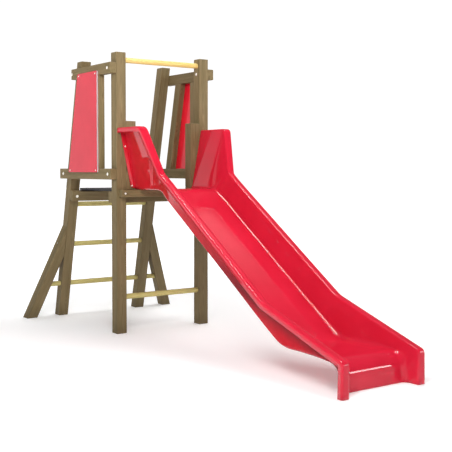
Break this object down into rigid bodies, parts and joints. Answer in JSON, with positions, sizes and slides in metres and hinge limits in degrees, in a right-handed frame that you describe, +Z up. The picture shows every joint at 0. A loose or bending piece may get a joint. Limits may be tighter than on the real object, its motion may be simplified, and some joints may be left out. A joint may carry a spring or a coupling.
{
  "type": "play tower slide",
  "caption": "Timber play tower with a leaning ladder, propped rear posts, two side panels and an open moulded slide with high entrance wings.",
  "frame": {"origin": "on the ground, in the middle of the whole footprint", "axes": "+Z up; -Y is the way a child slides down; +X is to the right seen from the slide's foot; X = 0 is the plane of symmetry"},
  "size_m": [1.7024, 4.244, 2.565],
  "materials": {
    "impregnated_pine": "planed, pressure-impregnated pine, greenish brown",
    "pale_round_bar": "turned pale timber, smooth",
    "red_panel": "satin red board with a paler core at its edges",
    "red_moulding": "high gloss red moulding",
    "dark_deck": "dark film-faced plywood",
    "pale_cap": "off-white domed cap",
    "zinc_steel": "zinc plated"
  },
  "bodies": {
    "root": {"deck": "dark_deck", "deck_screw_front_left": "zinc_steel", "deck_screw_front_right": "zinc_steel", "deck_screw_rear_left": "zinc_steel", "deck_screw_rear_right": "zinc_steel", "front_beam_bolt_left": "pale_cap", "front_beam_bolt_right": "pale_cap", "front_cross_beam": "impregnated_pine", "front_post_left": "impregnated_pine", "front_post_right": "impregnated_pine", "front_slat_left": "impregnated_pine", "front_slat_right": "impregnated_pine", "ladder_rung_bottom": "pale_round_bar", "ladder_rung_middle": "pale_round_bar", "ladder_rung_top": "pale_round_bar", "low_front_bar": "pale_round_bar", "lower_rail_bolt_front_left": "pale_cap", "lower_rail_bolt_front_right": "pale_cap", "lower_rail_bolt_rear_left": "pale_cap", "lower_rail_bolt_rear_right": "pale_cap", "lower_rail_left": "impregnated_pine", "lower_rail_right": "impregnated_pine", "panel_screw_low_front_left": "pale_cap", "panel_screw_low_front_right": "pale_cap", "panel_screw_low_rear_left": "pale_cap", "panel_screw_low_rear_right": "pale_cap", "panel_screw_top_front_left": "pale_cap", "panel_screw_top_front_right": "pale_cap", "panel_screw_top_rear_left": "pale_cap", "panel_screw_top_rear_right": "pale_cap", "prop_leg_left": "impregnated_pine", "prop_leg_right": "impregnated_pine", "prop_screw_left": "zinc_steel", "prop_screw_right": "zinc_steel", "rear_beam_bolt_left": "pale_cap", "rear_beam_bolt_right": "pale_cap", "rear_cross_beam": "impregnated_pine", "rear_post_left": "impregnated_pine", "rear_post_right": "impregnated_pine", "rear_slat_left": "impregnated_pine", "rear_slat_right": "impregnated_pine", "side_panel_left": "red_panel", "side_panel_right": "red_panel", "slide": "red_moulding", "slide_post_left": "impregnated_pine", "slide_post_right": "impregnated_pine", "slide_screw_high_left": "pale_cap", "slide_screw_high_right": "pale_cap", "slide_screw_low_left": "pale_cap", "slide_screw_low_right": "pale_cap", "slide_support_beam": "impregnated_pine", "top_bar": "pale_round_bar", "top_rail_bolt_front_left": "pale_cap", "top_rail_bolt_front_right": "pale_cap", "top_rail_bolt_rear_left": "pale_cap", "top_rail_bolt_rear_right": "pale_cap", "top_rail_left": "impregnated_pine", "top_rail_right": "impregnated_pine"}
  },
  "joints": []
}
